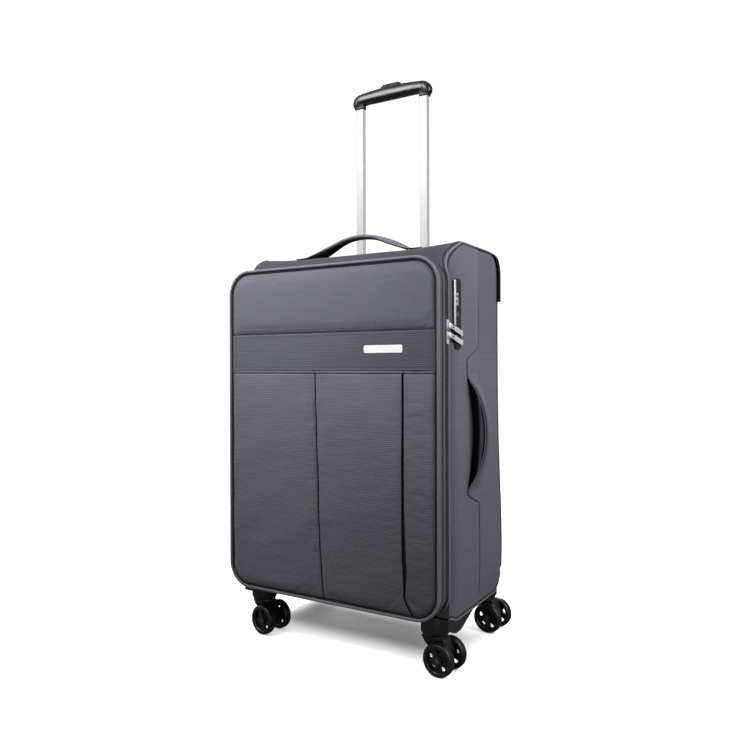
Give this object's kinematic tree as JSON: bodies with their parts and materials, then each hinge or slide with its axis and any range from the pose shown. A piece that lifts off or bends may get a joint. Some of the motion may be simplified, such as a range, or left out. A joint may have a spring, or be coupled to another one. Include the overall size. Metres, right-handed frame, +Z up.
{
  "type": "softside upright suitcase",
  "caption": "Softside upright suitcase in grey ribbed fabric with a telescopic handle, zipped and expandable lid, dial lock and swivelling twin-wheel casters.",
  "frame": {"origin": "on the floor, under the middle of the overall box at rest with the handle drawn out", "axes": "+X to the right seen from the front, +Y towards the back of the case, +Z up"},
  "size_m": [0.4396, 0.2892, 1.004],
  "materials": {
    "case_fabric": "matt grey woven polyester with a fine cross rib",
    "trim_fabric": "matt grey webbing and binding",
    "zip_tape": "dark woven tape with a nylon coil",
    "zip_metal": "bright plated zinc",
    "badge_metal": "bright plated plate",
    "black_plastic": "fine grained black moulding",
    "inner_board": "plain black sheet",
    "grip_rubber": "soft black moulding",
    "wheel_tyre": "black rubber-like tread on a black disc",
    "tube_aluminium": "pale anodised",
    "steel": "plain zinc plated"
  },
  "bodies": {
    "case": {"body_shell": "case_fabric", "base_pan": "inner_board", "frame_hoop": "inner_board", "corner_guards": "black_plastic", "hinge_strip": "trim_fabric", "case_screws": "steel", "zip_body_half": "zip_tape", "lock_body": "black_plastic", "top_handle": "trim_fabric", "side_handle": "trim_fabric", "side_handle_grip": "grip_rubber", "trolley_outer_tubes": "tube_aluminium", "trolley_bezel": "black_plastic", "trolley_bracket": "black_plastic", "caster_housing_fl": "black_plastic", "caster_housing_fr": "black_plastic", "caster_housing_rl": "black_plastic", "caster_housing_rr": "black_plastic", "swivel_pins": "steel"},
    "lid_frame": {"lid_ring": "case_fabric", "zip_lid_half": "zip_tape", "expansion_zip_rear": "zip_tape"},
    "lid_front": {"lid_shell": "case_fabric", "upper_panel": "case_fabric", "badge_band": "case_fabric", "badge_plate": "badge_metal", "lower_pocket": "case_fabric", "expansion_zip_front": "zip_tape"},
    "zip_slider_upper": {"zip_slider_upper": "zip_metal"},
    "zip_slider_lower": {"zip_slider_lower": "zip_metal"},
    "zip_pull_upper": {"zip_pull_upper": "zip_metal"},
    "zip_pull_lower": {"zip_pull_lower": "zip_metal"},
    "expansion_slider": {"expansion_slider": "zip_metal"},
    "lock_dial_upper": {"lock_dial_upper": "zip_metal"},
    "lock_dial_middle": {"lock_dial_middle": "zip_metal"},
    "lock_dial_lower": {"lock_dial_lower": "zip_metal"},
    "lock_button": {"lock_button": "black_plastic"},
    "lock_key_cylinder": {"lock_key_cylinder": "zip_metal"},
    "trolley": {"trolley_inner_tubes": "tube_aluminium", "trolley_grip": "black_plastic", "trolley_end_blocks": "black_plastic"},
    "trolley_button": {"trolley_button": "black_plastic"},
    "trolley_push_rods": {"trolley_push_rods": "steel"},
    "trolley_latch_pins": {"trolley_latch_pins": "steel"},
    "caster_fl": {"caster_fork_fl": "black_plastic", "axle_fl": "steel"},
    "wheel_fl_outer": {"wheel_fl_outer": "wheel_tyre"},
    "wheel_fl_inner": {"wheel_fl_inner": "wheel_tyre"},
    "caster_fr": {"caster_fork_fr": "black_plastic", "axle_fr": "steel"},
    "wheel_fr_outer": {"wheel_fr_outer": "wheel_tyre"},
    "wheel_fr_inner": {"wheel_fr_inner": "wheel_tyre"},
    "caster_rl": {"caster_fork_rl": "black_plastic", "axle_rl": "steel"},
    "wheel_rl_outer": {"wheel_rl_outer": "wheel_tyre"},
    "wheel_rl_inner": {"wheel_rl_inner": "wheel_tyre"},
    "caster_rr": {"caster_fork_rr": "black_plastic", "axle_rr": "steel"},
    "wheel_rr_outer": {"wheel_rr_outer": "wheel_tyre"},
    "wheel_rr_inner": {"wheel_rr_inner": "wheel_tyre"}
  },
  "joints": [
    {"name": "lid_hinge", "type": "hinge", "parent": "case", "child": "lid_frame", "pos_m": [-0.21818, -0.11278, 0.363], "axis": [0, 0, 1], "range_deg": [-160, 0]},
    {"name": "expansion_slide", "type": "slide", "parent": "lid_frame", "child": "lid_front", "axis": [0, 1, 0], "range_m": [-0.045, 0]},
    {"name": "main_zip_upper", "type": "slide", "parent": "case", "child": "zip_slider_upper", "axis": [0, 0, 1], "range_m": [0, 0.044]},
    {"name": "main_zip_lower", "type": "slide", "parent": "case", "child": "zip_slider_lower", "axis": [0, 0, 1], "range_m": [-0.37, 0]},
    {"name": "pull_upper_hinge", "type": "hinge", "parent": "zip_slider_upper", "child": "zip_pull_upper", "pos_m": [0.18942, -0.11278, 0.5336], "axis": [0, 0.2419, 0.9703], "range_deg": [-115, 0]},
    {"name": "pull_lower_hinge", "type": "hinge", "parent": "zip_slider_lower", "child": "zip_pull_lower", "pos_m": [0.18942, -0.11278, 0.5192], "axis": [0, 0.2419, 0.9703], "range_deg": [-115, 0]},
    {"name": "expansion_zip", "type": "slide", "parent": "lid_frame", "child": "expansion_slider", "axis": [1, 0, 0], "range_m": [-0.25, 0]},
    {"name": "lock_dial_upper", "type": "hinge", "parent": "case", "child": "lock_dial_upper", "pos_m": [0.18341, -0.08059, 0.5822], "axis": [0, 0, 1], "continuous": true},
    {"name": "lock_dial_middle", "type": "hinge", "parent": "case", "child": "lock_dial_middle", "pos_m": [0.18341, -0.08059, 0.575], "axis": [0, 0, 1], "continuous": true},
    {"name": "lock_dial_lower", "type": "hinge", "parent": "case", "child": "lock_dial_lower", "pos_m": [0.18341, -0.08059, 0.5678], "axis": [0, 0, 1], "continuous": true},
    {"name": "lock_button", "type": "slide", "parent": "case", "child": "lock_button", "axis": [1, 0, 0], "range_m": [-0.002, 0], "stiffness_N_per_m": 300, "springref_m": 0.0005},
    {"name": "lock_key", "type": "hinge", "parent": "case", "child": "lock_key_cylinder", "pos_m": [0.18482, -0.08059, 0.552], "axis": [1, 0, 0], "range_deg": [0, 90]},
    {"name": "handle_telescope", "type": "slide", "parent": "case", "child": "trolley", "axis": [0, 0, 1], "range_m": [-0.32, 0]},
    {"name": "handle_button", "type": "slide", "parent": "trolley", "child": "trolley_button", "axis": [0, 0, 1], "range_m": [-0.003, 0], "stiffness_N_per_m": 500, "springref_m": 0.001},
    {"name": "handle_push_rods", "type": "slide", "parent": "trolley", "child": "trolley_push_rods", "axis": [0, 0, 1], "range_m": [-0.003, 0]},
    {"name": "handle_latch_pins", "type": "slide", "parent": "trolley", "child": "trolley_latch_pins", "axis": [1, 0, 0], "range_m": [-0.002, 0]},
    {"name": "swivel_front_left", "type": "hinge", "parent": "case", "child": "caster_fl", "pos_m": [-0.18518, -0.09079, 0.056], "axis": [0, 0, 1], "continuous": true},
    {"name": "wheel_front_left_outer_spin", "type": "hinge", "parent": "caster_fl", "child": "wheel_fl_outer", "pos_m": [-0.17081, -0.11184, 0.0255], "axis": [0.1305, 0.9914, 0], "continuous": true},
    {"name": "wheel_front_left_inner_spin", "type": "hinge", "parent": "caster_fl", "child": "wheel_fl_inner", "pos_m": [-0.16585, -0.07417, 0.0255], "axis": [0.1305, 0.9914, 0], "continuous": true},
    {"name": "swivel_front_right", "type": "hinge", "parent": "case", "child": "caster_fr", "pos_m": [0.15482, -0.09179, 0.056], "axis": [0, 0, 1], "continuous": true},
    {"name": "wheel_front_right_outer_spin", "type": "hinge", "parent": "caster_fr", "child": "wheel_fr_outer", "pos_m": [0.16984, -0.11238, 0.0255], "axis": [0.0993, 0.9951, 0], "continuous": true},
    {"name": "wheel_front_right_inner_spin", "type": "hinge", "parent": "caster_fr", "child": "wheel_fr_inner", "pos_m": [0.17362, -0.07457, 0.0255], "axis": [0.0993, 0.9951, 0], "continuous": true},
    {"name": "swivel_rear_left", "type": "hinge", "parent": "case", "child": "caster_rl", "pos_m": [-0.18468, 0.11822, 0.056], "axis": [0, 0, 1], "continuous": true},
    {"name": "wheel_rear_left_outer_spin", "type": "hinge", "parent": "caster_rl", "child": "wheel_rl_outer", "pos_m": [-0.16995, 0.09741, 0.0255], "axis": [0.1132, 0.9936, 0], "continuous": true},
    {"name": "wheel_rear_left_inner_spin", "type": "hinge", "parent": "caster_rl", "child": "wheel_rl_inner", "pos_m": [-0.16564, 0.13517, 0.0255], "axis": [0.1132, 0.9936, 0], "continuous": true},
    {"name": "swivel_rear_right", "type": "hinge", "parent": "case", "child": "caster_rr", "pos_m": [0.15232, 0.11822, 0.056], "axis": [0, 0, 1], "continuous": true},
    {"name": "wheel_rear_right_outer_spin", "type": "hinge", "parent": "caster_rr", "child": "wheel_rr_outer", "pos_m": [0.16706, 0.09741, 0.0255], "axis": [0.1132, 0.9936, 0], "continuous": true},
    {"name": "wheel_rear_right_inner_spin", "type": "hinge", "parent": "caster_rr", "child": "wheel_rr_inner", "pos_m": [0.17136, 0.13517, 0.0255], "axis": [0.1132, 0.9936, 0], "continuous": true}
  ],
  "couplings": [
    {"joint": "handle_push_rods", "follows": "handle_button", "ratio": 1},
    {"joint": "handle_latch_pins", "follows": "handle_button", "ratio": 0.6666}
  ]
}
